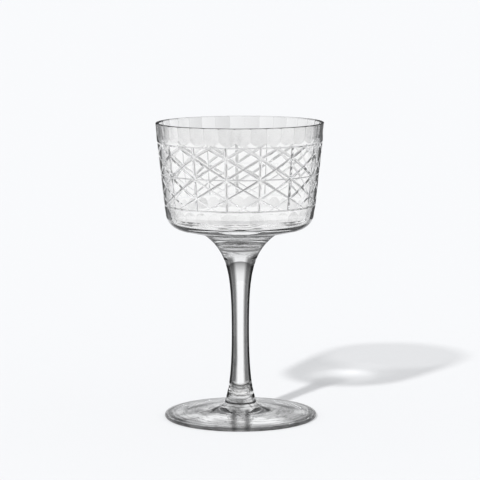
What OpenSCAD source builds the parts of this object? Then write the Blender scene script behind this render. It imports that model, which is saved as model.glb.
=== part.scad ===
// Stemmed cocktail glass in cut crystal: a straight-sided bowl on a drawn stem and a disc foot.
// The origin is the centre of the foot's underside, +Z is up, and the glass stands around the Z axis.
// The three pieces meet face to face at two flat hot-fused seats, and nothing on the glass moves.

/* [Bowl] */
// Outside diameter across the rim
rim_d = 80.2; // [79.5:0.1:84]
// Height of the bowl, from its seat on the stem to the rim
bowl_h = 53.3; // [50:0.1:62]
// Outside diameter at the upper border ring of the cut band
band_top_d = 78.5; // [77.5:0.1:79]
// Outside diameter at the lower border ring of the cut band
band_bottom_d = 72; // [71:0.1:74]
// Outside diameter where the wall turns into the rounded corner
corner_d = 70.8; // [69:0.1:71]
// Height of that turn above the bowl's seat
corner_h = 9.7; // [9:0.1:10.8]
// Radius of the rounded corner under the wall
corner_r = 8.7; // [7:0.1:10]
// Wall thickness at the rim
rim_wall = 1.4; // [1.2:0.05:2]
// Wall thickness at the upper border ring
band_wall = 1.8; // [1.7:0.05:2.4]
// Wall thickness at the lower border ring and at the corner
wall = 2.4; // [2.2:0.05:3.2]
// Glass thickness in the middle of the bowl's floor
floor_wall = 3.4; // [2.5:0.1:5]
// Rise of the inside floor from its middle to its edge
floor_rise = 2; // [1.2:0.1:2.6]
// Radius between the inside floor and the inside wall
inside_r = 4; // [3:0.1:6]

/* [Cut band] */
// Height of the lower border ring above the bowl's seat
band_low = 14.3; // [13.8:0.1:15]
// Height between the two border rings
band_h = 29.7; // [29:0.1:32]
// Number of upright cuts around the bowl
cuts = 15; // [13:1:17]
// Turn of the first upright cut round the bowl, in degrees
cut_turn = 14.4; // [0:0.1:24]
// Height between two rows of stars
row_pitch = 9.4; // [9:0.1:9.8]
// Depth of the upright cuts
upright_depth = 0.75; // [0.5:0.01:0.85]
// Depth of the slanting cuts that rise to the right
right_depth = 0.65; // [0.5:0.01:0.75]
// Depth of the slanting cuts that rise to the left
left_depth = 0.6; // [0.5:0.01:0.75]
// Depth of the two border rings
ring_depth = 0.4; // [0.2:0.01:0.6]
// Depth of the thin ring through the middle row of stars
hairline_depth = 0.3; // [0.15:0.01:0.4]
// Full angle of the V edge that cuts them, in degrees
v_angle = 92; // [84:1:100]

/* [Panels] */
// Number of flat panels around each plain band
panels = 34; // [30:1:36]
// Turn of the first panel round the bowl, in degrees
panel_turn = 1.8; // [0:0.1:10]
// Depth of a panel in its middle
panel_depth = 0.24; // [0.15:0.01:0.3]
// Plain height left between a border ring and the panels
panel_gap = 1; // [0.8:0.1:1.6]
// Height over which a panel's rounded end runs out
panel_runout = 3; // [2:0.1:3.5]

/* [Stem] */
// Length of the stem between its two seats
stem_l = 79.2; // [65:0.1:100]
// Diameter of the stem at its thinnest place
stem_d = 7.8; // [7:0.1:10]
// Diameter of the seat between the stem and the bowl
bowl_seat_d = 35.6; // [30:0.1:38]
// Length in which the upper flare loses two thirds of its width
upper_fade = 9.6; // [7:0.1:11]
// Diameter of the seat between the stem and the foot
foot_seat_d = 13.8; // [12:0.1:17]
// Length in which the lower flare loses two thirds of its width
lower_fade = 10.2; // [7:0.1:11]

/* [Foot] */
// Diameter of the foot
foot_d = 73; // [66:0.5:80]
// Thickness of the foot at its rounded edge
foot_edge = 1.9; // [1.6:0.1:2.4]
// Height of the stem's seat on the foot above the table
foot_h = 9.5; // [8.5:0.1:11]
// Height of the foot's upper face, carried on to the axis
foot_crown = 4.8; // [4:0.1:5.6]
// Width in which the neck under that seat loses two thirds of its height
neck_fade = 1.8; // [1.4:0.1:2.4]
// Width of the flat rest ring under the foot
rest_w = 2.5; // [1.5:0.1:5]
// Height of the domed hollow under the middle of the foot
hollow_h = 2.6; // [1:0.1:3]

/* [Hidden] */

rim_r = rim_d / 2;
corner_top_r = corner_d / 2;
bowl_seat_r = bowl_seat_d / 2;
foot_seat_r = foot_seat_d / 2;
foot_r = foot_d / 2;
bowl_z = foot_h + stem_l;

band_high = band_low + band_h;
band_mid = band_low + band_h / 2;
band_slope = (band_top_d - band_bottom_d) / 2 / band_h;
rim_slope = (rim_d - band_top_d) / 2 / (bowl_h - band_high);
mid_r = (band_top_d + band_bottom_d) / 4;

arc_steps = 8;
rim_steps = 6;
flare_steps = 26;
neck_steps = 14;
hollow_steps = 10;

// Overrun of every cutter past the surface that it cuts
over = 2;

// Points on an arc round the centre (cr, cz), from angle a to angle b
function arc(cr, cz, r, a, b, steps) =
    [for (i = [0:steps]) [cr + r * cos(a + (b - a) * i / steps), cz + r * sin(a + (b - a) * i / steps)]];

// Half the width at the surface of a V groove of this depth
function groove_half(depth) = depth * tan(v_angle / 2);

// Three points of the notch that a V groove makes in a wall that leans by slope
function ring_notch(r, z, depth, slope) = [
    [r - slope * groove_half(depth), z - groove_half(depth)],
    [r - depth, z],
    [r + slope * groove_half(depth), z + groove_half(depth)]
];

// Outside of the bowl, from its seat up to the rim
wall_lean = atan((band_bottom_d / 2 - corner_top_r) / (band_low - corner_h));
low_slope = tan(wall_lean);
corner_cr = corner_top_r - corner_r * cos(wall_lean);
corner_cz = corner_h + corner_r * sin(wall_lean);
seat_gap = norm([corner_cr - bowl_seat_r, corner_cz]);
under_angle = atan2(corner_cz, corner_cr - bowl_seat_r) - asin(corner_r / seat_gap);
outside_points = concat(
    [[0, 0], [bowl_seat_r, 0]],
    arc(corner_cr, corner_cz, corner_r, under_angle - 90, -wall_lean, arc_steps),
    ring_notch(band_bottom_d / 2, band_low, ring_depth, band_slope),
    ring_notch(mid_r, band_mid, hairline_depth, band_slope),
    ring_notch(band_top_d / 2, band_high, ring_depth, band_slope)
);

// Inside of the bowl, from the rim down to the middle of the floor
rim_round = rim_wall / 2;
inside_foot_r = corner_top_r - wall;
inside_lean = atan((band_bottom_d / 2 - wall - inside_foot_r) / (band_low - corner_h));
inside_cz = floor_wall + floor_rise + inside_r;
inside_cr = inside_foot_r + (inside_cz - corner_h) * tan(inside_lean) - inside_r / cos(inside_lean);
floor_angle = atan(floor_rise / inside_cr);
inside_points = concat(
    arc(rim_r - rim_round, bowl_h - rim_round, rim_round, 0, 180, rim_steps),
    [[band_top_d / 2 - band_wall, band_high], [band_bottom_d / 2 - wall, band_low]],
    arc(inside_cr, inside_cz, inside_r, -inside_lean, floor_angle - 90, arc_steps),
    [[0, floor_wall]]
);

// Ring cutter for the slanting cuts: it lies flat, and its V edge points at its own middle
slant_tilt = atan(row_pitch / (mid_r * sin(360 / cuts)));
slant_r = mid_r / pow(cos(slant_tilt), 2);
slant_shift = band_slope * sin(slant_tilt) * slant_r;
slant_half = band_h / 2 / sin(slant_tilt);
slant_up = asin((slant_half - slant_shift) / slant_r);
slant_down = asin((slant_half + slant_shift) / slant_r);

module slant_cut(side, depth) {
    middle = sqrt(pow(slant_r, 2) - pow(slant_shift, 2)) - mid_r + depth;
    first = side > 0 ? -slant_down : -slant_up;
    translate([0, 0, band_mid])
        rotate([side * slant_tilt, 0, 0])
            translate([-middle, side * slant_shift, 0])
                rotate([0, 0, first])
                    rotate_extrude(angle = slant_up + slant_down, $fn = 180)
                        polygon([
                            [slant_r, 0],
                            [slant_r + depth + over, groove_half(depth + over)],
                            [slant_r + depth + over, -groove_half(depth + over)]
                        ]);
}

// Straight cutter for one upright cut, which follows the lean of the wall
module upright_cut(depth) {
    length = norm([band_h, band_h * band_slope]);
    translate([mid_r, 0, band_mid])
        rotate([0, atan(band_slope), 0])
            translate([-depth, 0, -length / 2])
                linear_extrude(height = length)
                    polygon([
                        [0, 0],
                        [depth + over, groove_half(depth + over)],
                        [depth + over, -groove_half(depth + over)]
                    ]);
}

// Cutter for one flat panel: its edge starts at the wall, sinks in and then follows the wall's lean
module panel_cut(r, z, slope, up, height) {
    width = 2 * (r + over) * tan(180 / panels);
    sunk = r - panel_depth + slope * up * panel_runout;
    rotate([90, 0, 0])
        translate([0, 0, -width / 2])
            linear_extrude(height = width)
                polygon([
                    [r, z],
                    [sunk, z + up * panel_runout],
                    [sunk + slope * up * height, z + up * (panel_runout + height)],
                    [r + over, z + up * (panel_runout + height)],
                    [r + over, z]
                ]);
}

module bowl() {
    color("azure", 0.5)
        translate([0, 0, bowl_z])
            difference() {
                rotate_extrude($fn = 180) polygon(concat(outside_points, inside_points));
                for (i = [0:cuts - 1])
                    rotate([0, 0, cut_turn - 90 + i * 360 / cuts]) {
                        upright_cut(upright_depth);
                        slant_cut(1, right_depth);
                        slant_cut(-1, left_depth);
                    }
                for (i = [0:panels - 1])
                    rotate([0, 0, panel_turn - 90 + i * 360 / panels]) {
                        panel_cut(band_top_d / 2 + rim_slope * panel_gap, band_high + panel_gap,
                            rim_slope, 1, bowl_h - band_high);
                        panel_cut(band_bottom_d / 2 - low_slope * panel_gap, band_low - panel_gap,
                            low_slope, -1, corner_r);
                    }
            }
}

module stem() {
    stem_r = stem_d / 2;
    color("azure", 0.5)
        translate([0, 0, foot_h])
            rotate_extrude($fn = 180)
                polygon(concat(
                    [[0, 0]],
                    [for (i = [0:flare_steps * 2])
                        let (z = stem_l * i / flare_steps / 2)
                        [
                            stem_r + (foot_seat_r - stem_r) * exp(-z / lower_fade)
                                + (bowl_seat_r - stem_r) * exp((z - stem_l) / upper_fade),
                            z
                        ]],
                    [[0, stem_l]]
                ));
}

module foot() {
    edge_round = foot_edge / 2;
    edge_r = foot_r - edge_round;
    slope = (foot_crown - foot_edge) / edge_r;
    neck_h = foot_h - foot_crown + slope * foot_seat_r;
    rest_r = edge_r - rest_w;
    color("azure", 0.5)
        rotate_extrude($fn = 180)
            polygon(concat(
                [for (i = [0:hollow_steps])
                    [rest_r * i / hollow_steps, hollow_h * (1 - pow(i / hollow_steps, 2))]],
                arc(edge_r, edge_round, edge_round, -90, 90, rim_steps),
                [for (i = [neck_steps:-1:0])
                    let (r = foot_seat_r + neck_fade * 6 * pow(i / neck_steps, 1.5))
                    [r, foot_crown - slope * r + neck_h * exp((foot_seat_r - r) / neck_fade)]],
                [[0, foot_h]]
            ));
}

bowl();
stem();
foot();
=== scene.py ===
# %% [markdown]
# This lesson dresses a stemmed cocktail glass in cut crystal. The imported frame holds its three
# pieces at their real size: a bowl, a stem and a foot. It is loaded first, because the places
# below are read from it.

# %% Load the frame
import bpy
import math
from mathutils import Matrix, Vector


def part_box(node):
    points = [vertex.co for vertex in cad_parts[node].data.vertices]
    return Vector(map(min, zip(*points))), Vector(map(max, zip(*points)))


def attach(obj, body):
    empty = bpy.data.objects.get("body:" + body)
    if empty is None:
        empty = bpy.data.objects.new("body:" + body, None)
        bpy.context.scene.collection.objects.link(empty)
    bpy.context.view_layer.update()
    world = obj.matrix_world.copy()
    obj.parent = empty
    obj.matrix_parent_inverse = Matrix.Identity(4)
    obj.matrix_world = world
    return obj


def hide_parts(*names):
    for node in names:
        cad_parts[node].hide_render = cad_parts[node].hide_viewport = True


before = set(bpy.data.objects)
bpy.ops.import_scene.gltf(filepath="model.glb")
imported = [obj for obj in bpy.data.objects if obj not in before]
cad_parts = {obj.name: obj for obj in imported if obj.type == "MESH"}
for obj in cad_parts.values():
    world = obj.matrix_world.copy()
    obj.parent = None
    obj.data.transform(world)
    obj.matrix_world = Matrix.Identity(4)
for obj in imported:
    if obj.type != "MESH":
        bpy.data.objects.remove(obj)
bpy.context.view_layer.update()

MM = 0.001

# %% [markdown]
# The camera stands where the photographer stood: a little over a metre from the glass and well
# above its rim, with a long lens that looks down at about seven degrees. So far away, the rim and
# the foot keep the thin, nearly equal ellipses that the picture shows. The side of the film is
# 36 mm, and the length of the lens in millimetres follows from how much of the floor is in view.

# %% Camera
CAMERA_AWAY = 1.0418
CAMERA_ASIDE = -0.00006
CAMERA_HEIGHT = 0.22286
CAMERA_DOWN = math.radians(7.509)
CAMERA_ROLL = math.radians(-0.162)
LENS = 165.0
FILM_SIDE = 36.0
NEAREST, FURTHEST = 0.01, 50.0

camera_data = bpy.data.cameras.new("view")
camera_data.lens = LENS
camera_data.sensor_width = FILM_SIDE
camera_data.clip_start = NEAREST
camera_data.clip_end = FURTHEST
camera = bpy.data.objects.new("view", camera_data)
bpy.context.scene.collection.objects.link(camera)
camera.location = (CAMERA_ASIDE, -CAMERA_AWAY, CAMERA_HEIGHT)
nod = Matrix.Rotation(math.pi / 2 - CAMERA_DOWN, 3, "X")
roll = Matrix.Rotation(CAMERA_ROLL, 3, "Z")
camera.rotation_euler = (nod @ roll).to_euler()
bpy.context.scene.camera = camera
print("camera at", tuple(camera.location), "with a", LENS, "mm lens")

# %% [markdown]
# A glass is turned round one axis, so each piece starts as half of its outline. A chain of
# cylinders could be scaled row by row instead, but an outline shows the whole form at once. It is
# drawn as by hand: one vertex is extruded from point to point in the XZ plane, and then the line
# is spun once round the Z axis. The spin leaves a double row where it closes and a pile of points
# on the axis, so doubles are merged, and then the normals are made to point out of the glass.

# %% Helpers to draw and spin an outline
WELD_GAP = 0.002 * MM


def only(piece):
    """Leave edit mode, then select this one object and make it active."""
    if bpy.context.object and bpy.context.object.mode != "OBJECT":
        bpy.ops.object.mode_set(mode="OBJECT")
    bpy.ops.object.select_all(action="DESELECT")
    piece.select_set(True)
    bpy.context.view_layer.objects.active = piece


def draw_outline(name, points):
    """A chain of edges through (radius, height) points, left open in edit mode."""
    bpy.ops.object.select_all(action="DESELECT")
    bpy.ops.mesh.primitive_plane_add(size=MM)
    piece = bpy.context.object
    piece.name = name
    bpy.ops.object.mode_set(mode="EDIT")
    bpy.ops.mesh.merge(type="CENTER")
    bpy.ops.transform.translate(value=(points[0][0], 0, points[0][1]))
    for (r0, z0), (r1, z1) in zip(points, points[1:]):
        bpy.ops.mesh.extrude_region_move(TRANSFORM_OT_translate={"value": (r1 - r0, 0, z1 - z0)})
    return piece


def close_mesh():
    """Merge doubles, turn the normals outwards and leave edit mode."""
    bpy.ops.mesh.select_all(action="SELECT")
    bpy.ops.mesh.remove_doubles(threshold=WELD_GAP)
    bpy.ops.mesh.normals_make_consistent(inside=False)
    bpy.ops.object.mode_set(mode="OBJECT")


def turned(name, points, steps):
    """A piece turned from its outline, in this many steps round the Z axis."""
    piece = draw_outline(name, points)
    bpy.ops.mesh.select_all(action="SELECT")
    bpy.ops.mesh.spin(steps=steps, angle=2 * math.pi, center=(0, 0, 0), axis=(0, 0, -1))
    close_mesh()
    print(piece.name, "turned:", len(piece.data.polygons), "faces")
    return piece


def arc(cr, cz, r, a, b, steps):
    """Points on an arc round (cr, cz), from angle a to angle b in radians."""
    return [(cr + r * math.cos(a + (b - a) * i / steps), cz + r * math.sin(a + (b - a) * i / steps))
            for i in range(steps + 1)]


def line(p, q, steps):
    """Points along a straight stretch, without the first one."""
    return [(p[0] + (q[0] - p[0]) * i / steps, p[1] + (q[1] - p[1]) * i / steps)
            for i in range(1, steps + 1)]


# %% [markdown]
# The bowl is blown into a mould and cut cold. Its outside rises from the seat in a shallow
# underside, turns through a tight rounded corner and then leans out in three straight stretches.
# A wheel has run one V-shaped ring round it at the top and at the bottom of the cut band, and one
# much finer ring through the middle. The rim is fire-polished to a round edge, and the inside
# follows the outside down to its own rounded corner and a floor that sinks towards the middle.
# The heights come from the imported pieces, and the other sizes repeat the part's own.

# %% Sizes of the bowl
SEAT_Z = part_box("bowl")[0][2]
RIM_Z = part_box("bowl")[1][2]
SEAT_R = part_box("stem")[1][0]
RIM_R = 40.1 * MM
RIM_WALL = 1.4 * MM
BAND_TOP_R = 39.25 * MM
BAND_BOTTOM_R = 36.0 * MM
BAND_WALL = 1.8 * MM
BAND_LOW_Z = SEAT_Z + 14.3 * MM
BAND_HIGH_Z = BAND_LOW_Z + 29.7 * MM
CORNER_R = 35.4 * MM
CORNER_Z = SEAT_Z + 9.7 * MM
CORNER_ROUND = 8.7 * MM
WALL = 2.4 * MM
FLOOR_WALL = 3.4 * MM
FLOOR_RISE = 2.0 * MM
INSIDE_ROUND = 4.0 * MM
RING_DEPTH = 0.4 * MM
HAIRLINE_DEPTH = 0.3 * MM
V_HALF = math.tan(math.radians(46))

BAND_MID_Z = (BAND_LOW_Z + BAND_HIGH_Z) / 2
MID_R = (BAND_TOP_R + BAND_BOTTOM_R) / 2
BAND_SLOPE = (BAND_TOP_R - BAND_BOTTOM_R) / (BAND_HIGH_Z - BAND_LOW_Z)
RIM_SLOPE = (RIM_R - BAND_TOP_R) / (RIM_Z - BAND_HIGH_Z)
LOW_SLOPE = (BAND_BOTTOM_R - CORNER_R) / (BAND_LOW_Z - CORNER_Z)
print("bowl from", round(SEAT_Z, 4), "to", round(RIM_Z, 4), "m, rim radius", RIM_R)

# %% Outline of the bowl
BOWL_STEPS = 480
SEAT_ROWS, UNDER_ROWS, FLOOR_ROWS = 4, 3, 6
CORNER_ROWS, RIM_ROWS, INSIDE_ROWS = 40, 14, 34


def ring_notch(r, z, depth):
    """The three points of a V ring in the leaning wall."""
    half = depth * V_HALF
    return [(r - BAND_SLOPE * half, z - half), (r - depth, z), (r + BAND_SLOPE * half, z + half)]


low_lean = math.atan(LOW_SLOPE)
corner_cr = CORNER_R - CORNER_ROUND * math.cos(low_lean)
corner_cz = CORNER_Z + CORNER_ROUND * math.sin(low_lean)
seat_gap = math.hypot(corner_cr - SEAT_R, corner_cz - SEAT_Z)
under_lean = math.atan2(corner_cz - SEAT_Z, corner_cr - SEAT_R) - math.asin(CORNER_ROUND / seat_gap)
corner = arc(corner_cr, corner_cz, CORNER_ROUND, under_lean - math.pi / 2, -low_lean, CORNER_ROWS)

inside_r = CORNER_R - WALL
inside_lean = math.atan((BAND_BOTTOM_R - WALL - inside_r) / (BAND_LOW_Z - CORNER_Z))
inside_cz = SEAT_Z + FLOOR_WALL + FLOOR_RISE + INSIDE_ROUND
inside_cr = (inside_r + (inside_cz - CORNER_Z) * math.tan(inside_lean)
             - INSIDE_ROUND / math.cos(inside_lean))
floor_lean = math.atan(FLOOR_RISE / inside_cr)
rim_round = RIM_WALL / 2

bowl_line = [(0, SEAT_Z)] + line((0, SEAT_Z), (SEAT_R, SEAT_Z), SEAT_ROWS)
bowl_line += line(bowl_line[-1], corner[0], UNDER_ROWS)[:-1] + corner
bowl_line += ring_notch(BAND_BOTTOM_R, BAND_LOW_Z, RING_DEPTH)
bowl_line += ring_notch(MID_R, BAND_MID_Z, HAIRLINE_DEPTH)
bowl_line += ring_notch(BAND_TOP_R, BAND_HIGH_Z, RING_DEPTH)
bowl_line += arc(RIM_R - rim_round, RIM_Z - rim_round, rim_round, 0, math.pi, RIM_ROWS)
bowl_line += [(BAND_TOP_R - BAND_WALL, BAND_HIGH_Z), (BAND_BOTTOM_R - WALL, BAND_LOW_Z)]
bowl_line += arc(inside_cr, inside_cz, INSIDE_ROUND, -inside_lean, floor_lean - math.pi / 2, INSIDE_ROWS)
bowl_line += line(bowl_line[-1], (0, SEAT_Z + FLOOR_WALL), FLOOR_ROWS)
bowl = turned("bowl_glass", bowl_line, BOWL_STEPS)

# %% [markdown]
# The lattice is cut by a wheel with a V-shaped edge. Fifteen cuts stand upright, and two sets of
# fifteen slant across them, so that three lines meet in each star. The cuts could be painted on
# as a pattern, but only real grooves bend the view through the glass. Each wheel is modelled once
# and copied round the bowl, the copies are joined, and one difference takes them all out.

# %% Helpers for the cutters
OVER = 2.0 * MM


def prism(name, shape, length):
    """A closed outline in the XZ plane, filled and drawn out along Y to both sides."""
    piece = draw_outline(name, shape)
    bpy.ops.mesh.select_all(action="SELECT")
    bpy.ops.mesh.edge_face_add()
    bpy.ops.mesh.extrude_region_move(TRANSFORM_OT_translate={"value": (0, length, 0)})
    bpy.ops.mesh.select_all(action="SELECT")
    bpy.ops.transform.translate(value=(0, -length / 2, 0))
    close_mesh()
    return piece


def put(piece, *moves):
    """Place a cutter by these moves, the last one first, and keep the place in its mesh."""
    only(piece)
    piece.matrix_world = Matrix.Identity(4)
    for move in moves:
        piece.matrix_world = piece.matrix_world @ move
    bpy.ops.object.transform_apply()
    return piece


def ring_of(piece, count, first):
    """Copy a cutter round the Z axis, from this angle on, and join the copies."""
    put(piece, Matrix.Rotation(first, 4, "Z"))
    copies = [piece]
    for i in range(1, count):
        bpy.ops.object.select_all(action="DESELECT")
        piece.select_set(True)
        bpy.ops.object.duplicate(linked=False)
        copies.append(bpy.context.selected_objects[0])
        copies[-1].rotation_euler = (0, 0, i * 2 * math.pi / count)
    for copy in copies:
        copy.select_set(True)
    bpy.context.view_layer.objects.active = piece
    bpy.ops.object.transform_apply()
    bpy.ops.object.join()
    return piece


def cut(piece, cutter):
    """Take the cutter out of the piece and throw the cutter away."""
    only(piece)
    boolean = piece.modifiers.new("cut", "BOOLEAN")
    boolean.operation = "DIFFERENCE"
    boolean.solver = "MANIFOLD"
    boolean.object = cutter
    bpy.ops.object.modifier_apply(modifier=boolean.name)
    bpy.data.objects.remove(cutter)


# %% Upright cuts
CUTS = 15
CUT_TURN = math.radians(14.4) - math.pi / 2
UPRIGHT_DEPTH = 0.75 * MM


def v_edge(tip, depth):
    """The three corners of a wheel's V edge, with its tip at this radius."""
    reach = depth + OVER
    return [(tip, 0), (tip + reach, reach * V_HALF), (tip + reach, -reach * V_HALF)]


wheel = v_edge(0, UPRIGHT_DEPTH)
upright_length = math.hypot(BAND_HIGH_Z - BAND_LOW_Z, BAND_TOP_R - BAND_BOTTOM_R)
upright = prism("upright_cut", wheel, upright_length)
put(upright, Matrix.Translation((MID_R, 0, BAND_MID_Z)), Matrix.Rotation(math.atan(BAND_SLOPE), 4, "Y"),
    Matrix.Translation((-UPRIGHT_DEPTH, 0, 0)), Matrix.Rotation(math.pi / 2, 4, "X"))
cut(bowl, ring_of(upright, CUTS, CUT_TURN))
print("after the upright cuts:", len(bowl.data.polygons), "faces")

# %% [markdown]
# A slanting cut is as long as the band is high, and the wheel that makes it is about as large as
# the bowl. It lies flat round its own middle, tilts with the row of stars and sinks in until its
# edge is as deep as the cut. Its arc ends where it meets the two border rings.

# %% Slanting cuts
ROW_PITCH = 9.4 * MM
RIGHT_DEPTH = 0.65 * MM
LEFT_DEPTH = 0.6 * MM
WHEEL_STEPS = 72

tilt = math.atan(ROW_PITCH / (MID_R * math.sin(2 * math.pi / CUTS)))
wheel_r = MID_R / math.cos(tilt) ** 2
shift = BAND_SLOPE * math.sin(tilt) * wheel_r
half_length = (BAND_HIGH_Z - BAND_LOW_Z) / 2 / math.sin(tilt)
end_up = math.asin((half_length - shift) / wheel_r)
end_down = math.asin((half_length + shift) / wheel_r)

for side, depth in ((1, RIGHT_DEPTH), (-1, LEFT_DEPTH)):
    slant = draw_outline("slanting_cut", v_edge(wheel_r, depth))
    bpy.ops.mesh.select_all(action="SELECT")
    bpy.ops.mesh.edge_face_add()
    bpy.ops.mesh.spin(steps=WHEEL_STEPS, angle=end_up + end_down, center=(0, 0, 0), axis=(0, 0, -1))
    close_mesh()
    sunk = math.sqrt(wheel_r ** 2 - shift ** 2) - MID_R + depth
    put(slant, Matrix.Translation((0, 0, BAND_MID_Z)), Matrix.Rotation(side * tilt, 4, "X"),
        Matrix.Translation((-sunk, side * shift, 0)),
        Matrix.Rotation(-end_down if side > 0 else -end_up, 4, "Z"))
    cut(bowl, ring_of(slant, CUTS, CUT_TURN))
print("after the slanting cuts:", len(bowl.data.polygons), "faces")

# %% [markdown]
# The two plain bands above and below the lattice are not quite round: they are ground into 34
# flat panels, each with an end that runs out softly towards the border ring. They are what gives
# the wall its upright stripes. Two neighbours share an edge, so every second panel is cut at a
# time, which keeps the copies of one cutter from touching each other.

# %% Panels
PANELS = 34
PANEL_STEP = 2 * math.pi / PANELS
PANEL_TURN = math.radians(1.8) - math.pi / 2
PANEL_DEPTH = 0.24 * MM
PANEL_GAP = 1.0 * MM
PANEL_RUNOUT = 3.0 * MM


def panel_cutter(r, z, slope, up, height):
    """A flat cutter that sinks in from (r, z) and then follows the lean of the wall."""
    sunk = r - PANEL_DEPTH + slope * up * PANEL_RUNOUT
    top = z + up * (PANEL_RUNOUT + height)
    shape = [(r, z), (sunk, z + up * PANEL_RUNOUT), (sunk + slope * up * height, top),
             (r + OVER, top), (r + OVER, z)]
    return prism("panel_cut", shape, 2 * r * math.tan(PANEL_STEP / 2))


UPPER_BAND = (BAND_TOP_R + RIM_SLOPE * PANEL_GAP, BAND_HIGH_Z + PANEL_GAP, RIM_SLOPE, 1,
              RIM_Z - BAND_HIGH_Z)
LOWER_BAND = (BAND_BOTTOM_R - LOW_SLOPE * PANEL_GAP, BAND_LOW_Z - PANEL_GAP, LOW_SLOPE, -1,
              CORNER_ROUND)
for band in (UPPER_BAND, LOWER_BAND):
    for half in (0, 1):
        cut(bowl, ring_of(panel_cutter(*band), PANELS // 2, PANEL_TURN + half * PANEL_STEP))
print("after the panels:", len(bowl.data.polygons), "faces")

# %% [markdown]
# The stem is drawn from the hot glass, so it has no edge anywhere: it swells at both ends, as two
# fading curves added to one even rod. It is solid and meets the bowl in a wide flat seat, which
# is where the two gathers were fused.

# %% Stem
NECK_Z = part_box("foot")[1][2]
STEM_R = 3.9 * MM
NECK_R = 6.9 * MM
UPPER_FADE = 9.6 * MM
LOWER_FADE = 10.2 * MM
STEM_ROWS = 120
STEM_STEPS = 256

stem_line = [(0, NECK_Z)]
for i in range(STEM_ROWS + 1):
    z = NECK_Z + (SEAT_Z - NECK_Z) * i / STEM_ROWS
    upper = (SEAT_R - STEM_R) * math.exp((z - SEAT_Z) / UPPER_FADE)
    lower = (NECK_R - STEM_R) * math.exp((NECK_Z - z) / LOWER_FADE)
    stem_line.append((STEM_R + upper + lower, z))
stem_line.append((0, SEAT_Z))
stem = turned("stem_glass", stem_line, STEM_STEPS)

# %% [markdown]
# The foot is pressed flat while it is hot: a disc with a rounded edge, a gently coned upper face
# and a short neck that runs up into the stem. Underneath it is domed, so that it stands on one
# narrow ring and doesn't rock. The rows of its neck lie close together near the stem, where the
# outline bends most, which the square in the radius does.

# %% Foot
FOOT_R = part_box("foot")[1][0]
FOOT_EDGE = 1.9 * MM
FOOT_CROWN = 4.8 * MM
NECK_FADE = 1.8 * MM
REST_W = 2.5 * MM
HOLLOW_H = 2.6 * MM
FOOT_STEPS = 384
HOLLOW_ROWS, EDGE_ROWS, NECK_ROWS = 24, 20, 60
NECK_SHARE = 0.98

edge_round = FOOT_EDGE / 2
edge_r = FOOT_R - edge_round
rest_r = edge_r - REST_W
top_slope = (FOOT_CROWN - FOOT_EDGE) / edge_r
neck_h = NECK_Z - FOOT_CROWN + top_slope * NECK_R

foot_line = [(rest_r * i / HOLLOW_ROWS, HOLLOW_H * (1 - (i / HOLLOW_ROWS) ** 2))
             for i in range(HOLLOW_ROWS + 1)]
foot_line += arc(edge_r, edge_round, edge_round, -math.pi / 2, math.pi / 2, EDGE_ROWS)
for i in range(NECK_ROWS, -1, -1):
    r = NECK_R + (edge_r - NECK_R) * (i / NECK_ROWS) ** 2 * NECK_SHARE
    foot_line.append((r, FOOT_CROWN - top_slope * r + neck_h * math.exp((NECK_R - r) / NECK_FADE)))
foot_line.append((0, NECK_Z))
foot = turned("foot_glass", foot_line, FOOT_STEPS)

# %% [markdown]
# Clear glass has no colour of its own, so all that can be seen of it is the room: white where a
# ray passes straight on to the white backdrop, dark where the surface turns away and bends the
# ray round into the unlit part of the studio. A real studio does that with black cards beside the
# glass. Here that dark is painted shade: every outer face takes a painted grey in its colour by
# its angle to the view, which does the same for a view from any side, and most inner faces stay
# clear. At the very outline a real glass mirrors the black cards too, while this one would mirror
# the white floor, so there it is mixed with a plain dark face, a painted reflection of the cards.
# The rays that only ask how much light reaches the floor pass through a thin grey, so the glass
# throws a light shadow, and its bent rays put no stray sparkle on the paper. A ray that is caught
# inside the glass ends in black, so some faces let a part of those rays pass.

# %% Helpers for the glass
GLASS_IOR = 1.52
SHADOW_GREY = 0.76
EVEN_BLEND = 0.5
# The plain dark face is painted shade: a near-black face in place of the cards that glass mirrors.
PAINTED_OUTLINE_GREY = 0.02
CRYSTAL_TINT = (1.0, 0.996, 0.988, 1)
MIX_A, MIX_B, MIX_OUT = 6, 7, 2


def grey(value):
    """This grey as a colour."""
    return (value, value, value, 1)


def plug(node, slot, value):
    """Give an input a number, or link it to a socket."""
    if isinstance(value, (int, float)):
        node.inputs[slot].default_value = value
    else:
        node.id_data.links.new(value, node.inputs[slot])


def number(nodes, operation, a, b=0):
    """One sum of one or two values, where each is a number or a socket."""
    node = nodes.new("ShaderNodeMath")
    node.operation = operation
    plug(node, 0, a)
    plug(node, 1, b)
    return node.outputs[0]


def spread(nodes, value, low, high, first, last, smooth=False):
    """Carry a value from the range low to high over to the range first to last."""
    node = nodes.new("ShaderNodeMapRange")
    node.interpolation_type = "SMOOTHSTEP" if smooth else "LINEAR"
    plug(node, "Value", value)
    for name, limit in (("From Min", low), ("From Max", high), ("To Min", first), ("To Max", last)):
        plug(node, name, limit)
    return node.outputs["Result"]


def steps_of_grey(nodes, value, stops):
    """A ramp through (place, grey) stops."""
    node = nodes.new("ShaderNodeValToRGB")
    elements = node.color_ramp.elements
    elements.remove(elements[-1])
    for i, (place, shade) in enumerate(stops):
        element = elements[0] if i == 0 else elements.new(place)
        element.position = place
        element.color = grey(shade)
    plug(node, "Fac", value)
    return node.outputs["Color"]


def mixed(nodes, share, a, b, kind="MIX"):
    """Mix two colours, where each value is a number or a socket."""
    node = nodes.new("ShaderNodeMix")
    node.data_type = "RGBA"
    node.blend_type = kind
    plug(node, 0, share)
    for slot, value in ((MIX_A, a), (MIX_B, b)):
        if isinstance(value, (int, float)):
            node.inputs[slot].default_value = grey(value)
        else:
            plug(node, slot, value)
    return node.outputs[MIX_OUT]


def fixed_colour(nodes, colour):
    """A colour that stays the same, as a socket."""
    node = nodes.new("ShaderNodeRGB")
    node.outputs["Color"].default_value = colour
    return node.outputs["Color"]


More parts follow.
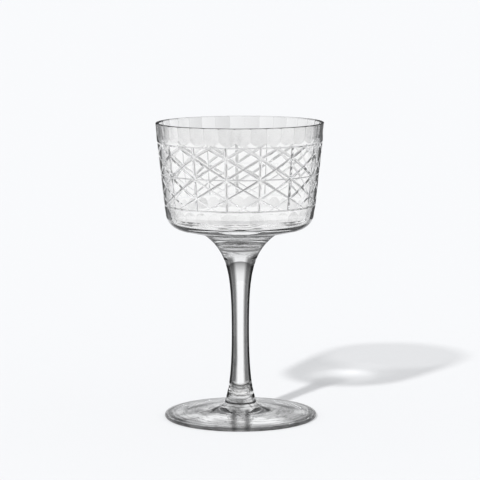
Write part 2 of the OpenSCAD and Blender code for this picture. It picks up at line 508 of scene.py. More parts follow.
def crystal(name, mirror=1.0, roughness=0.0):
    """Clear glass that still needs its painted greys. Mirror dims its straight reflections."""
    material = bpy.data.materials.new(name)
    material.use_nodes = True
    nodes = material.node_tree.nodes
    glass = nodes["Principled BSDF"]
    glass.inputs["Base Color"].default_value = CRYSTAL_TINT
    glass.inputs["Transmission Weight"].default_value = 1.0
    glass.inputs["Roughness"].default_value = roughness
    glass.inputs["IOR"].default_value = GLASS_IOR
    glass.inputs["Specular Tint"].default_value = grey(mirror)
    passing = nodes.new("ShaderNodeBsdfTransparent")
    passing.inputs["Color"].default_value = grey(SHADOW_GREY)
    path = nodes.new("ShaderNodeLightPath")
    asking = number(nodes, "MAXIMUM", path.outputs["Is Shadow Ray"], path.outputs["Is Diffuse Ray"])
    mix_in(material, passing.outputs["BSDF"], asking, glass.outputs["BSDF"])
    return material


def mix_in(material, shader, share, before):
    """Mix a shader over what came before, and make that the material's surface."""
    nodes = material.node_tree.nodes
    both = nodes.new("ShaderNodeMixShader")
    plug(both, "Fac", share)
    plug(both, 1, before)
    plug(both, 2, shader)
    plug(nodes["Material Output"], "Surface", both.outputs["Shader"])
    return both.outputs["Shader"]


def turned_away(nodes, normal=None):
    """How far a face turns away from the view: 0 straight on, 1 edge on."""
    node = nodes.new("ShaderNodeLayerWeight")
    node.inputs["Blend"].default_value = EVEN_BLEND
    if normal:
        plug(node, "Normal", normal)
    return node.outputs["Facing"]


def seen_from(nodes, outer, inner):
    """One number where a face is seen from outside the glass, the other where from within."""
    side = nodes.new("ShaderNodeNewGeometry")
    return spread(nodes, side.outputs["Backfacing"], 0, 1, outer, inner)


def with_painted_shade(material, outer, inner=1.0):
    """Link the painted greys of the outer and the inner side to the glass, with the crystal's tint."""
    nodes = material.node_tree.nodes
    side = nodes.new("ShaderNodeNewGeometry")
    both = mixed(nodes, side.outputs["Backfacing"], outer, inner)
    both = mixed(nodes, 1, both, fixed_colour(nodes, CRYSTAL_TINT), "MULTIPLY")
    plug(nodes["Principled BSDF"], "Base Color", both)
    return material


def edged(material, stops, share=None, face_grey=PAINTED_OUTLINE_GREY):
    """Mix a plain face into the outer side by its angle or this share: dark as painted shade, grey as
    milk.
    """
    nodes = material.node_tree.nodes
    plain = nodes.new("ShaderNodeBsdfDiffuse")
    plain.inputs["Color"].default_value = grey(face_grey)
    share = share or steps_of_grey(nodes, turned_away(nodes), stops)
    share = number(nodes, "MULTIPLY", share, seen_from(nodes, 1, 0))
    before = nodes["Material Output"].inputs["Surface"].links[0].from_node
    glass = nodes["Principled BSDF"].outputs["BSDF"]
    plug(before, 1, mix_in(material, plain.outputs["BSDF"], share, glass))
    plug(nodes["Material Output"], "Surface", before.outputs["Shader"])
    return material


# %% [markdown]
# Four effects are used by more than one material, so each is a node group with named values. The
# first paints every panel its own shade, in place of the light that each panel bends a little
# differently: the angle round the axis, counted in panels, seeds one random number, and the place
# within the panel adds a little painted shade, because a flat face on a round wall is a weak lens.
# The second says how deep a point lies under the uncut wall, so that the bottom of a wheel cut can
# take a darker painted shade than its lips. The third says how far a point is from the nearest
# star, because the crossing cuts open into one bright facet there, which is left clear of the
# painted dark. The fourth paints, as grey shade, the faint rings that turning leaves in hot glass,
# in place of the light that their ripples bend: a noise that is stretched round the axis. It
# changes quickly with the radius or the height and slowly with the angle, so it is read at a point
# made of those two, scaled, and of the sine and the cosine. A thin dark line runs where the noise
# crosses its middle value, and with a middle of zero the plain noise gives soft patches instead.

# %% Shared effects
HALF = 0.5


def new_group(name, inputs, output):
    """An empty node group with these number inputs and one number output."""
    group = bpy.data.node_groups.new(name, "ShaderNodeTree")
    for label, value in inputs:
        socket = group.interface.new_socket(name=label, in_out="INPUT", socket_type="NodeSocketFloat")
        socket.default_value = value
    group.interface.new_socket(name=output, in_out="OUTPUT", socket_type="NodeSocketFloat")
    return group, group.nodes.new("NodeGroupInput").outputs, group.nodes.new("NodeGroupOutput")


def place_parts(nodes, kind="Object"):
    """The X, Y and Z of the point on the piece, or of another kind of place."""
    coords = nodes.new("ShaderNodeTexCoord")
    parts = nodes.new("ShaderNodeSeparateXYZ")
    plug(parts, 0, coords.outputs[kind])
    return parts.outputs


def axis_distance(nodes, place):
    """Distance from the Z axis."""
    xx = number(nodes, "MULTIPLY", place["X"], place["X"])
    yy = number(nodes, "MULTIPLY", place["Y"], place["Y"])
    return number(nodes, "SQRT", number(nodes, "ADD", xx, yy))


# Painted shade: each panel's own grey, with a little more across it.
panel_shade_group, given, result = new_group(
    "painted_panel_shade", (("Panels", PANELS), ("First Edge", PANEL_TURN - PANEL_STEP / 2),
                   ("Darkest", 0.8), ("Lightest", 1.0), ("Across", 0.08), ("Seed", 1.0)), "Grey")
nodes = panel_shade_group.nodes
place = place_parts(nodes)
angle = number(nodes, "ARCTAN2", place["Y"], place["X"])
angle = number(nodes, "SUBTRACT", angle, given["First Edge"])
counted = number(nodes, "MULTIPLY", angle, given["Panels"])
counted = number(nodes, "DIVIDE", counted, 2 * math.pi)
within = number(nodes, "SUBTRACT", number(nodes, "FRACT", counted), HALF)
within = number(nodes, "MULTIPLY", within, given["Across"])
counted = number(nodes, "FLOORED_MODULO", number(nodes, "FLOOR", counted), given["Panels"])
chance = nodes.new("ShaderNodeTexWhiteNoise")
chance.noise_dimensions = "1D"
plug(chance, "W", number(nodes, "MULTIPLY", counted, given["Seed"]))
panel_shade = spread(nodes, chance.outputs["Value"], 0, 1, given["Darkest"], given["Lightest"])
plug(result, "Grey", number(nodes, "ADD", panel_shade, within))

depth_group, given, result = new_group(
    "cut_depth", (("Foot Radius", BAND_BOTTOM_R), ("Foot Height", BAND_LOW_Z),
                  ("Slope", BAND_SLOPE), ("Full Depth", UPRIGHT_DEPTH)), "Share")
nodes = depth_group.nodes
place = place_parts(nodes)
above = number(nodes, "SUBTRACT", place["Z"], given["Foot Height"])
wall_r = number(nodes, "ADD", number(nodes, "MULTIPLY", above, given["Slope"]), given["Foot Radius"])
sunk = number(nodes, "SUBTRACT", wall_r, axis_distance(nodes, place))
plug(result, "Share", number(nodes, "DIVIDE", sunk, given["Full Depth"]))

star_group, given, result = new_group(
    "star_distance", (("Cuts", CUTS), ("First Cut", CUT_TURN), ("Middle Row", BAND_MID_Z),
                      ("Row Pitch", ROW_PITCH), ("Outer Rows", 1.0)), "Metres")
nodes = star_group.nodes
place = place_parts(nodes)
angle = number(nodes, "ARCTAN2", place["Y"], place["X"])
angle = number(nodes, "SUBTRACT", angle, given["First Cut"])
turn = number(nodes, "DIVIDE", 2 * math.pi, given["Cuts"])
off = number(nodes, "DIVIDE", angle, turn)
off = number(nodes, "SUBTRACT", off, number(nodes, "ROUND", off))
aside = number(nodes, "MULTIPLY", number(nodes, "MULTIPLY", off, turn), MID_R)
rows = number(nodes, "DIVIDE", number(nodes, "SUBTRACT", place["Z"], given["Middle Row"]),
              given["Row Pitch"])
nearest = number(nodes, "MINIMUM", number(nodes, "ROUND", rows), given["Outer Rows"])
nearest = number(nodes, "MAXIMUM", nearest, number(nodes, "MULTIPLY", given["Outer Rows"], -1))
above = number(nodes, "MULTIPLY", number(nodes, "SUBTRACT", rows, nearest), given["Row Pitch"])
squares = [number(nodes, "MULTIPLY", way, way) for way in (aside, above)]
plug(result, "Metres", number(nodes, "SQRT", number(nodes, "ADD", *squares)))

# Painted shade: grey rings and streaks, in place of the light that turned glass bends.
painted_rings_group, given, result = new_group(
    "painted_spun_rings", (("Across", 300.0), ("Along", 0.0), ("Round", 1.6), ("Detail", 3.0),
                   ("Middle", 0.5), ("Low", 0.0), ("High", 0.05), ("Darkest", 0.15)), "Grey")
nodes = painted_rings_group.nodes
place = place_parts(nodes)
angle = number(nodes, "ARCTAN2", place["Y"], place["X"])
spun = nodes.new("ShaderNodeCombineXYZ")
across = number(nodes, "MULTIPLY", axis_distance(nodes, place), given["Across"])
along = number(nodes, "MULTIPLY", place["Z"], given["Along"])
plug(spun, "X", number(nodes, "ADD", across, along))
for axis, wave in (("Y", "SINE"), ("Z", "COSINE")):
    plug(spun, axis, number(nodes, "MULTIPLY", number(nodes, wave, angle), given["Round"]))
noise = nodes.new("ShaderNodeTexNoise")
noise.inputs["Scale"].default_value = 1.0
plug(noise, "Detail", given["Detail"])
plug(noise, "Vector", spun.outputs["Vector"])
ridge = number(nodes, "SUBTRACT", noise.outputs["Fac"], given["Middle"])
ridge = number(nodes, "ABSOLUTE", ridge)
plug(result, "Grey", spread(nodes, ridge, given["Low"], given["High"], given["Darkest"], 1))
print("shared effects:", panel_shade_group.name, depth_group.name, star_group.name, painted_rings_group.name)


def effect(nodes, group, **values):
    """Use a shared effect, with these of its values changed."""
    node = nodes.new("ShaderNodeGroup")
    node.node_tree = group
    for label, value in values.items():
        node.inputs[label].default_value = value
    return node.outputs[0]


# %% [markdown]
# The wall between the cuts is polished. Seen straight on it is clear, and close to its outline
# it goes dark in one narrow step of painted shade. The inside is left fully clear: its painted grey
# would only add a second, false outline. The underside turns away from the view everywhere, so its
# painted grey starts earlier, and the outer quarter of the rim is painted fully dark, which draws
# the thin dark line round the mouth. The thick middle of the floor is a lens for the lamp: it lets
# more light through to the paper than falls on it, in rings, and that is the bright spot inside the
# shadow. The lamp shines in at a slant, so the middle of those rings lies a little along its way.

# %% Polished faces of the bowl
# Painted shade: greys by the angle to the view, and shares of the plain dark face at the outline.
WALL_STOPS = [(0, 1), (0.45, 1), (0.52, 0.85), (0.58, 0.6), (0.64, 0.35), (0.7, 0.2),
              (0.76, 0.08), (0.82, 0.02), (1, 0)]
UNDER_STOPS = [(0, 1), (0.5, 0.95), (0.65, 0.75), (0.8, 0.5), (0.92, 0.3), (1, 0.15)]
LIP_STOPS = [(0, 1), (0.5, 0.9), (0.7, 0.4), (0.85, 0.1), (1, 0)]
WALL_EDGE = [(0, 0), (0.7, 0), (0.78, 0.8), (1, 0.95)]
UNDER_EDGE = [(0, 0), (0.62, 0), (0.72, 0.5), (0.78, 0.5), (0.84, 0.1), (0.9, 0.1), (0.95, 0.5), (1, 0.6)]
RIM_EDGE = [(0, 1)]
LIP_EDGE = [(0, 0), (0.6, 0.1), (0.8, 0.7), (1, 0.9)]
SOFT_MIRROR = 0.3
LENS_GAIN = 1.85
LENS_CENTRE = (4 * MM, 7 * MM)
LENS_STOPS = [(0, 1), (0.13, 1), (0.2, 0.65), (0.27, 0.85), (0.34, 0.58), (0.44, 0.52),
              (0.5, 0.6), (0.55, 0.5), (0.6, 0.47), (1, 0.47)]


def polished(name, stops, edge):
    """Glass that takes its painted outer grey and its painted dark outline from the angle to the view."""
    material = crystal(name, SOFT_MIRROR)
    nodes = material.node_tree.nodes
    with_painted_shade(material, steps_of_grey(nodes, turned_away(nodes), stops))
    return edged(material, edge)


inside_glass = with_painted_shade(crystal("inside_crystal"), 1.0)
nodes = inside_glass.node_tree.nodes
place = place_parts(nodes)
beside = {axis: number(nodes, "SUBTRACT", place[axis], middle)
          for axis, middle in zip("XY", LENS_CENTRE)}
out = spread(nodes, axis_distance(nodes, beside), 0, BAND_TOP_R, 0, 1)
lens = number(nodes, "MULTIPLY", steps_of_grey(nodes, out, LENS_STOPS), LENS_GAIN)
plug(nodes["Transparent BSDF"], "Color", lens)
wall_glass = polished("wall_crystal", WALL_STOPS, WALL_EDGE)
under_glass = polished("underside_crystal", UNDER_STOPS, UNDER_EDGE)
rim_glass = polished("rim_crystal", LIP_STOPS, RIM_EDGE)
lip_glass = polished("lip_crystal", LIP_STOPS, LIP_EDGE)
print("polished:", inside_glass.name, wall_glass.name, under_glass.name, rim_glass.name, lip_glass.name)

# %% [markdown]
# A panel is ground and polished again by hand, and each takes its own painted shade, in place of
# the light that no two panels bend quite alike. On the near side the upper panels are softened,
# because the many small facets behind them blur into one another, and the far side stays sharp.
# The steps in the ramps are clear and painted dark stripes that show where the panels turn away.

# %% Panels
# Painted shade: the stepped greys of the panels, and the darkest painted shade of each side.
UPPER_STOPS = [(0, 0.9), (0.33, 0.9), (0.35, 1), (0.41, 1), (0.425, 0.88), (0.445, 0.72),
               (0.46, 0.7), (0.475, 0.83), (0.495, 0.95), (0.515, 0.82), (0.54, 0.68), (0.56, 0.6),
               (0.588, 0.42), (0.61, 0.27), (0.645, 0.22), (0.676, 0.26), (0.71, 0.16),
               (0.757, 0.1), (0.80, 0.05), (1, 0)]
FAR_STOPS = [(0, 0.86), (0.10, 0.86), (0.115, 1), (0.15, 1), (0.17, 0.9), (0.3, 0.8)]
UPPER_EDGE = [(0, 0), (0.73, 0), (0.78, 0.5), (0.86, 0.8), (1, 0.9)]
PANEL_BLUR = 0.25
UPPER_PANEL_SHADES = (0.86, 0.76)
LOWER_PANEL_SHADES = (0.8, 0.7)


def panelled(name, outer_stops, darkest_shades, edge, blur):
    """Glass whose painted grey changes by the angle and from panel to panel, down to these two shades."""
    material = crystal(name, SOFT_MIRROR)
    nodes = material.node_tree.nodes
    away = turned_away(nodes)
    sides = []
    for stops, darkest in zip((outer_stops, FAR_STOPS), darkest_shades):
        panel_shade = effect(nodes, panel_shade_group, Darkest=darkest)
        sides.append(mixed(nodes, 1, steps_of_grey(nodes, away, stops), panel_shade, "MULTIPLY"))
    if blur:
        plug(nodes["Principled BSDF"], "Roughness", seen_from(nodes, blur, 0))
    with_painted_shade(material, *sides)
    return edged(material, edge)


upper_glass = panelled("upper_panel_crystal", UPPER_STOPS, UPPER_PANEL_SHADES, UPPER_EDGE, PANEL_BLUR)
lower_glass = panelled("lower_panel_crystal", WALL_STOPS, LOWER_PANEL_SHADES, WALL_EDGE, 0)
print("panels:", upper_glass.name, lower_glass.name)

# %% [markdown]
# The wheel leaves its grooves satin, like fine frosted glass. Their lips are left clear, and along
# the bottom they take a painted dark shade, in place of the light that a groove bends away. Frosted
# glass seen through frosted glass would turn into fog, which the real lattice doesn't, so where a
# cut is seen from within, some rays go on. A ground face is milky too: it takes a share of plain
# grey that grows as it turns away, and the painted dark bottom fades on the steep facets, or the
# outermost cuts would be black dashes.

# %% Satin cuts
# Painted shade: the greys of the cut cores, from their lips to their bottoms.
CORE_STOPS = [(0, 0.95), (0.4, 1), (0.6, 0.5), (0.8, 0.15)]
RING_STOPS = [(0, 0.7)]
FINE_STOPS = [(0, 1), (0.12, 0.9), (0.3, 0.2)]
CUT_MILK = [(0, 0.25), (0.6, 0.28), (0.85, 0.5), (1, 0.6)]
MILK_GREY = 0.66
STAR_OPEN, STAR_CLOSED = 0.8 * MM, 2.4 * MM
STEEP = (0.45, 0.75)
STEEP_LIGHT = 0.7
CUT_BLUR, RING_BLUR, HAIR_BLUR = 0.08, 0.2, 0.3
CUT_ALPHA, RING_ALPHA = 0.6, 0.1


def satin(name, stops, roughness, going_on):
    """Frosted glass with a painted dark core that fades at the stars, partly open from within."""
    material = crystal(name, roughness=roughness)
    nodes = material.node_tree.nodes
    painted_core = steps_of_grey(nodes, effect(nodes, depth_group), stops)
    steep = spread(nodes, turned_away(nodes), *STEEP, 0, STEEP_LIGHT)
    painted_core = mixed(nodes, steep, painted_core, 1.0)
    near = spread(nodes, effect(nodes, star_group), STAR_OPEN, STAR_CLOSED, 0, 1, True)
    with_painted_shade(material, mixed(nodes, near, 1.0, painted_core))
    plug(nodes["Principled BSDF"], "Alpha", seen_from(nodes, 1, going_on))
    return edged(material, CUT_MILK, face_grey=MILK_GREY)


cut_glass = satin("satin_cut", CORE_STOPS, CUT_BLUR, CUT_ALPHA)
ring_glass = satin("border_ring_cut", RING_STOPS, RING_BLUR, RING_ALPHA)
hair_glass = satin("fine_ring_cut", FINE_STOPS, HAIR_BLUR, RING_ALPHA)
print("satin:", cut_glass.name, ring_glass.name, hair_glass.name)

# %% [markdown]
# The rod of the stem is a thick lens: it gathers the studio into upright bands, and these are
# painted as greys in its colour. The painted greys follow a level normal, straight out from the
# axis, so that they run parallel to the stem and don't narrow with its swell. Towards the flare and
# the neck the glass widens into rounder lenses, and the painted bands give way to painted level
# rings, which painted waves break up, in place of the light that waves in the surface bend. At both
# ends of the rod the sides are painted dark, with bright beads left clear in them, and its outlines
# and the dark flare rings take the plain dark face as well. The rod throws a deeper shadow than the
# flare, and most rays that are caught in the flare go on. Where two gathers were fused there is no
# surface at all, so that face lets all pass.

# %% Stem
# Painted shade: greys of the bands, rings, waves and sides, and shares of the plain dark face.
STEM_STOPS = [(0, 1), (0.046, 1), (0.07, 0.6), (0.09, 0.31), (0.13, 0.05), (0.18, 0.05),
              (0.215, 0.02), (0.28, 0.045), (0.33, 0.045), (0.41, 0.01), (0.49, 0), (1, 0)]
FLARE_STOPS = [(0, 1), (0.6, 1), (0.75, 0.9), (0.9, 0.6)]
ROD_EDGE = [(0, 0), (0.36, 0.05), (0.42, 0.45), (0.5, 0.85), (0.56, 1)]
FLARE_EDGE = [(0, 0), (0.62, 0), (0.75, 0.6), (1, 0.8)]
FLARE_RING_SHADE = [(0, 1), (0.5, 1), (0.53, 0.3), (0.56, 0.3), (0.59, 0.9), (0.62, 1), (0.67, 0.85), (0.71, 1),
               (0.85, 1), (0.875, 0.4), (0.89, 0.1), (0.91, 0.2), (0.93, 0.6), (0.96, 0.3), (1, 0.7)]
FLARE_RING_DARK = 0.35
NECK_RING_SHADE = [(0, 0.5), (0.03, 0.4), (0.07, 0.95), (0.12, 0.9), (0.145, 0.35), (0.18, 0.95), (0.24, 1),
              (0.5, 1), (0.55, 0.5), (0.59, 0.15), (0.63, 0.3), (0.68, 0.95), (1, 1)]
BANDS_TO_FLARE = (76.8 * MM, 80.3 * MM)
ROD_TO_BEADS = (73 * MM, 75 * MM)
SIDE_STOPS = [(0, 1), (0.13, 1), (0.22, 0.5), (0.33, 0.1), (1, 0.02)]
SIDES_END = (79 * MM, 82 * MM)
NECK_TO_BANDS = (15.5 * MM, 18.3 * MM)
FLARE_ZONE = (73 * MM, 88.7 * MM)
NECK_ZONE = (9.5 * MM, 21 * MM)
SHADE_ZONE = (76 * MM, 81 * MM)
STEM_SHADE = 0.5
FLARE_ALPHA = 0.1
BEADS = {"Across": 0.0, "Along": 700.0, "Round": 0.8, "Middle": 0.0, "Low": 0.5, "High": 0.56,
         "Darkest": 0.0}
WAVE_SHADE = {"Across": 0.0, "Along": 350.0, "Round": 0.8, "High": 0.04, "Darkest": 0.35}


def level_normal(nodes, place):
    """The level direction from the axis to the point."""
    level = nodes.new("ShaderNodeCombineXYZ")
    plug(level, "X", place["X"])
    plug(level, "Y", place["Y"])
    unit = nodes.new("ShaderNodeVectorMath")
    unit.operation = "NORMALIZE"
    plug(unit, 0, level.outputs["Vector"])
    return unit.outputs["Vector"]


stem_glass = crystal("stem_crystal", SOFT_MIRROR)
nodes = stem_glass.node_tree.nodes
place = place_parts(nodes)
shade = spread(nodes, place["Z"], *SHADE_ZONE, STEM_SHADE, 1, True)
plug(nodes["Transparent BSDF"], "Color", shade)
away = turned_away(nodes)
level_away = turned_away(nodes, level_normal(nodes, place))
painted_bands = steps_of_grey(nodes, level_away, STEM_STOPS)
beads = effect(nodes, painted_rings_group, **BEADS)
sides = mixed(nodes, beads, steps_of_grey(nodes, level_away, SIDE_STOPS), 1.0)
sides = mixed(nodes, spread(nodes, place["Z"], *SIDES_END, 0, 1, True), sides, 1.0)
edges = steps_of_grey(nodes, away, FLARE_STOPS)
high = spread(nodes, place["Z"], *BANDS_TO_FLARE, 0, 1, True)
low = spread(nodes, place["Z"], *NECK_TO_BANDS, 1, 0, True)
painted_ring_greys = []
painted_waves = effect(nodes, painted_rings_group, **WAVE_SHADE)
for zone, stops in ((FLARE_ZONE, FLARE_RING_SHADE), (NECK_ZONE, NECK_RING_SHADE)):
    painted_ring_greys.append(steps_of_grey(nodes, spread(nodes, place["Z"], *zone, 0, 1), stops))
    edges = mixed(nodes, 1, edges, painted_ring_greys[-1], "MULTIPLY")
for layer in (painted_waves, sides):
    edges = mixed(nodes, 1, edges, layer, "MULTIPLY")
with_painted_shade(stem_glass, mixed(nodes, number(nodes, "MAXIMUM", high, low), painted_bands, edges))
beaded = number(nodes, "MAXIMUM", spread(nodes, place["Z"], *ROD_TO_BEADS, 0, 1, True), low)
going_on = number(nodes, "MAXIMUM", seen_from(nodes, 1, 0), spread(nodes, high, 0, 1, 1, FLARE_ALPHA))
plug(nodes["Principled BSDF"], "Alpha", going_on)
gaps = number(nodes, "SUBTRACT", 1, number(nodes, "MULTIPLY", beaded, beads))
rod = number(nodes, "MULTIPLY", steps_of_grey(nodes, away, ROD_EDGE), gaps)
ring_dark = number(nodes, "MULTIPLY", number(nodes, "SUBTRACT", 1, painted_ring_greys[0]), FLARE_RING_DARK)
flare = number(nodes, "MAXIMUM", steps_of_grey(nodes, away, FLARE_EDGE), ring_dark)
edged(stem_glass, None, mixed(nodes, high, rod, flare))

seat_glass = bpy.data.materials.new("fused_seat")
seat_glass.use_nodes = True
nodes = seat_glass.node_tree.nodes
plug(nodes["Material Output"], "Surface", nodes.new("ShaderNodeBsdfTransparent").outputs["BSDF"])
print("stem:", stem_glass.name, "and", seat_glass.name)

# %% [markdown]
# The foot was spun out while it was soft, and that leaves thin rings and broad streaks in its
# surface, which are painted as grey shade. Darker painted rings run just inside its edge, a
# painted shade where the underside turns up into the hollow. Its upper face mirrors the stem, and
# that reflection is painted, as a band that runs from the stem towards the viewer. The band is
# worked out from two angles to the view, that of the level way out from the axis and that of the
# upright, and it fades where the foot is seen from above. Its outline and the painted marks take
# the plain dark face as well. Only the outer part of the foot throws a shadow, and there some of
# the rays that are caught inside go on.

# %% Foot
# Painted shade: greys of the foot, its rings and streaks, and shares of the plain dark face.
FOOT_STOPS = [(0, 1), (0.85, 1), (0.93, 0.9), (1, 0.6)]
FOOT_EDGE_STOPS = [(0, 0), (0.92, 0), (0.96, 0.6), (1, 0.95)]
FOOT_RING_SHADE = [(0, 1), (0.83, 1), (0.865, 0.6), (0.89, 1), (0.92, 0.55), (0.945, 0.4), (0.96, 0.8),
              (0.975, 1), (0.99, 0.5), (1, 0.4)]
FOOT_SHADE = [(0, 1), (0.86, 1), (0.93, 0.7), (1, 0.7)]
FOOT_ALPHA = [(0, 1), (0.8, 1), (0.88, 0.5), (0.95, 0.6), (0.97, 1), (1, 1)]
# Painted reflection: the greys and the reach of the stem's painted image in the foot.
REFLECTION_GREYS = [(0, 0.9), (0.17, 0.8), (0.28, 0.45), (0.36, 0.2), (0.46, 0.18), (0.55, 0.6), (0.64, 1)]
REFLECTION_FROM = (8.5 * MM, 11 * MM)
REFLECTION_HALF = 8 * MM
REFLECTION_VIEWS = (0.5, 0.8)
FOOT_MARK_DARK = 0.5
STREAK_SHADE = {"Across": 110.0, "Round": 1.5, "Middle": 0.0, "Low": 0.44, "High": 0.56, "Darkest": 0.35}


def painted_stem_reflection(nodes, place, out):
    """A painted reflection of the stem in the upper face of the foot, which runs towards the viewer."""
    upright = nodes.new("ShaderNodeCombineXYZ")
    upright.inputs["Z"].default_value = 1.0
    flatness = turned_away(nodes, upright.outputs["Vector"])
    squares = []
    for facing in (turned_away(nodes, level_normal(nodes, place)), flatness):
        towards = number(nodes, "SUBTRACT", 1, facing)
        squares.append(number(nodes, "MULTIPLY", towards, towards))
    share = number(nodes, "DIVIDE", squares[0], number(nodes, "SUBTRACT", 1, squares[1]))
    aside = number(nodes, "MAXIMUM", number(nodes, "SUBTRACT", 1, share), 0)
    aside = number(nodes, "MULTIPLY", number(nodes, "SQRT", aside), out)
    reflection = steps_of_grey(nodes, spread(nodes, aside, 0, REFLECTION_HALF, 0, 1), REFLECTION_GREYS)
    share = number(nodes, "MULTIPLY", spread(nodes, flatness, *REFLECTION_VIEWS, 0, 1),
                   spread(nodes, out, *REFLECTION_FROM, 0, 1, True))
    return mixed(nodes, share, 1.0, reflection)


foot_glass = crystal("foot_crystal")
nodes = foot_glass.node_tree.nodes
place = place_parts(nodes)
radius = axis_distance(nodes, place)
out = spread(nodes, radius, 0, FOOT_R, 0, 1)
plug(nodes["Transparent BSDF"], "Color", steps_of_grey(nodes, out, FOOT_SHADE))
going_on = number(nodes, "MAXIMUM", steps_of_grey(nodes, out, FOOT_ALPHA), seen_from(nodes, 1, 0))
plug(nodes["Principled BSDF"], "Alpha", going_on)
away = turned_away(nodes)
outer = steps_of_grey(nodes, away, FOOT_STOPS)
painted_marks = mixed(nodes, 1, steps_of_grey(nodes, out, FOOT_RING_SHADE),
              painted_stem_reflection(nodes, place, radius), "MULTIPLY")
for layer in (effect(nodes, painted_rings_group), painted_marks, effect(nodes, painted_rings_group, **STREAK_SHADE)):
    outer = mixed(nodes, 1, outer, layer, "MULTIPLY")
with_painted_shade(foot_glass, outer)
painted_mark_dark = number(nodes, "MULTIPLY", number(nodes, "SUBTRACT", 1, painted_marks), FOOT_MARK_DARK)
at_edge = steps_of_grey(nodes, away, FOOT_EDGE_STOPS)
edged(foot_glass, None, number(nodes, "MAXIMUM", at_edge, painted_mark_dark))
print("foot:", foot_glass.name)

# %% [markdown]
# Every face now gets its material by where it lies and which way it points, because the Boolean
# left no names on the faces it made. The flat discs where two pieces meet get the open seat.
# Smooth shading stops at small angles, so that the grooves and the panels keep their crisp edges.

# %% Give every face its finish
SMOOTH_ANGLE = math.radians(3.5)
FLAT = 0.999
INWARD, OUTWARD = -0.2, 0.2
MOSTLY, NEARLY_ALL, RISING = 0.5, 0.9, 0.02
OFF_WALL = 0.97
PANEL_AREA = 4 * MM * MM
RIM_LINE = 0.72 * MM
RING_REACH = 0.42 * MM
HAIR_REACH = 0.32 * MM
HAIR_TILT = 0.62
BOWL_GLASSES = (wall_glass, seat_glass, cut_glass, upper_glass, lower_glass, rim_glass,
                inside_glass, ring_glass, under_glass, hair_glass, lip_glass)


def wall_at(z):
    """Radius of the uncut outside wall at a height."""
    if z > BAND_HIGH_Z:
        return BAND_TOP_R + RIM_SLOPE * (z - BAND_HIGH_Z)
    return BAND_BOTTOM_R + BAND_SLOPE * (z - BAND_LOW_Z)


def at_seat(face):
    """Whether a face lies in one of the two fused seats."""
    near = min(abs(face.center.z - SEAT_Z), abs(face.center.z - NECK_Z))
    return abs(face.normal.z) > FLAT and near < WELD_GAP


def bowl_finish(face):
    """The glass that belongs on this face of the bowl."""
    c, n = face.center, face.normal
    r = math.hypot(c.x, c.y)
    out = (n.x * c.x + n.y * c.y) / r
    along_wall = (out - n.z * BAND_SLOPE) / math.hypot(1, BAND_SLOPE)
    if at_seat(face):
        return seat_glass
    if BAND_LOW_Z - MM < c.z < BAND_HIGH_Z + MM and out > OUTWARD and along_wall < OFF_WALL \
            and r < wall_at(c.z):
        if abs(c.z - BAND_MID_Z) < HAIR_REACH and abs(n.z) > HAIR_TILT:
            return hair_glass
        at_ring = min(abs(c.z - BAND_LOW_Z), abs(c.z - BAND_HIGH_Z)) < RING_REACH
        return ring_glass if at_ring and abs(out) < NEARLY_ALL else cut_glass
    if c.z > RIM_Z - RIM_LINE and n.z > RISING:
        return rim_glass if r > RIM_R - RIM_WALL / 2 else lip_glass
    if out < INWARD or (n.z > MOSTLY and c.z < BAND_LOW_Z):
        return inside_glass
    if c.z > BAND_HIGH_Z and r < RIM_R - RIM_WALL / 2 and out < MOSTLY:
        return inside_glass
    if face.area > PANEL_AREA and out > MOSTLY and c.z > BAND_HIGH_Z:
        return upper_glass
    if face.area > PANEL_AREA and out > MOSTLY and SEAT_Z + MM < c.z < BAND_LOW_Z:
        return lower_glass
    return under_glass if c.z < CORNER_Z else wall_glass


for piece, glasses in ((bowl, BOWL_GLASSES), (stem, (stem_glass, seat_glass)),
                       (foot, (foot_glass, seat_glass))):
    only(piece)
    bpy.ops.object.shade_smooth_by_angle(angle=SMOOTH_ANGLE)
    piece.data.materials.clear()
    for glass in glasses:
        piece.data.materials.append(glass)
    for face in piece.data.polygons:
        if piece is bowl:
            face.material_index = glasses.index(bowl_finish(face))
        else:
            face.material_index = int(at_seat(face))
    print(piece.name, "has", len(piece.data.polygons), "faces in", len(glasses), "finishes")

# %% [markdown]
# The three pieces take the places of the plain solids. Nothing on a glass moves, so all three
# ride on the one body of the frame.

# %% Ride on the frame
for piece, node in ((bowl, "bowl"), (stem, "stem"), (foot, "foot")):
    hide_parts(node)
    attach(piece, "root")
    print(piece.name, "stands for", node)

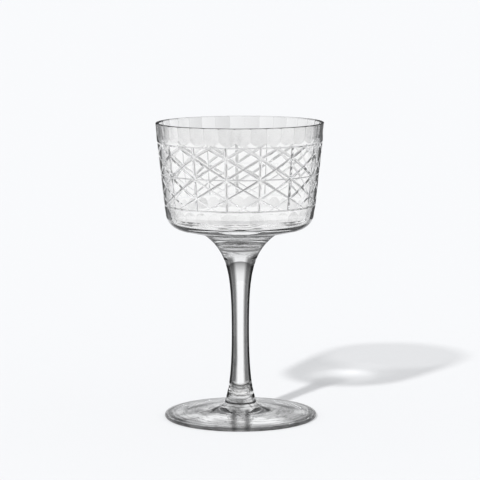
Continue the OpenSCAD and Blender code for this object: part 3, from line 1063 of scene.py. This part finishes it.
# %% [markdown]
# The studio is a white sheet that runs up behind the glass. A curved sheet would show its own
# shading, so the floor is one wide flat sheet, and the world carries on its white at the horizon.
# Higher up it darkens, turns light again and fades overhead, in level steps: that is the room over
# the sheet, and the glass shows it in its flare and its edges, together with the painted shade in
# its own colour. The sun stands for the one hard lamp, to the left behind the camera. It throws the
# shadow to the right and back, and the glass itself doesn't show it, so that no hard sparkles appear.

# %% Floor, world and light
FLOOR_SIDE = 60.0
WHITE = (0.947, 0.956, 0.974)
PAPER = (0.786, 0.790, 0.797)
STUDIO_STOPS = [(0, 0.93), (0.08, 0.85), (0.12, 0.74), (0.16, 0.62), (0.2, 0.52), (0.25, 0.37),
                (0.30, 0.22), (0.325, 0.9), (0.5, 0.9), (0.7, 0.75), (0.85, 0.65), (0.93, 0.5),
                (0.97, 0.15)]
SUN_POWER = 2.95
SUN_WIDTH = math.radians(3)
SUN_WAY = Vector((0.60, 1.114, -1.0))

bpy.ops.object.select_all(action="DESELECT")
bpy.ops.mesh.primitive_plane_add(size=FLOOR_SIDE)
floor = bpy.context.object
floor.name = "floor"
paper = bpy.data.materials.new("floor_paper")
paper.use_nodes = True
sheet = paper.node_tree.nodes["Principled BSDF"]
sheet.inputs["Base Color"].default_value = (*PAPER, 1)
sheet.inputs["Roughness"].default_value = 1.0
sheet.inputs["Specular IOR Level"].default_value = 0.0
floor.data.materials.append(paper)

world = bpy.data.worlds.new("studio")
bpy.context.scene.world = world
world.use_nodes = True
nodes = world.node_tree.nodes
levels = steps_of_grey(nodes, place_parts(nodes, "Generated")["Z"], STUDIO_STOPS)
tinted = mixed(nodes, 1, levels, fixed_colour(nodes, (*WHITE, 1)), "MULTIPLY")
plug(nodes["Background"], "Color", tinted)
nodes["Background"].inputs["Strength"].default_value = 1.0

sun_data = bpy.data.lights.new("key", "SUN")
sun_data.energy = SUN_POWER
sun_data.angle = SUN_WIDTH
sun_data.cycles.use_multiple_importance_sampling = False
sun = bpy.data.objects.new("key", sun_data)
bpy.context.scene.collection.objects.link(sun)
sun.rotation_euler = SUN_WAY.to_track_quat("-Z", "Y").to_euler()
sun.visible_glossy = False
sun.visible_transmission = False
bpy.context.scene.view_settings.view_transform = "Standard"
print("floor, studio and one lamp are set")
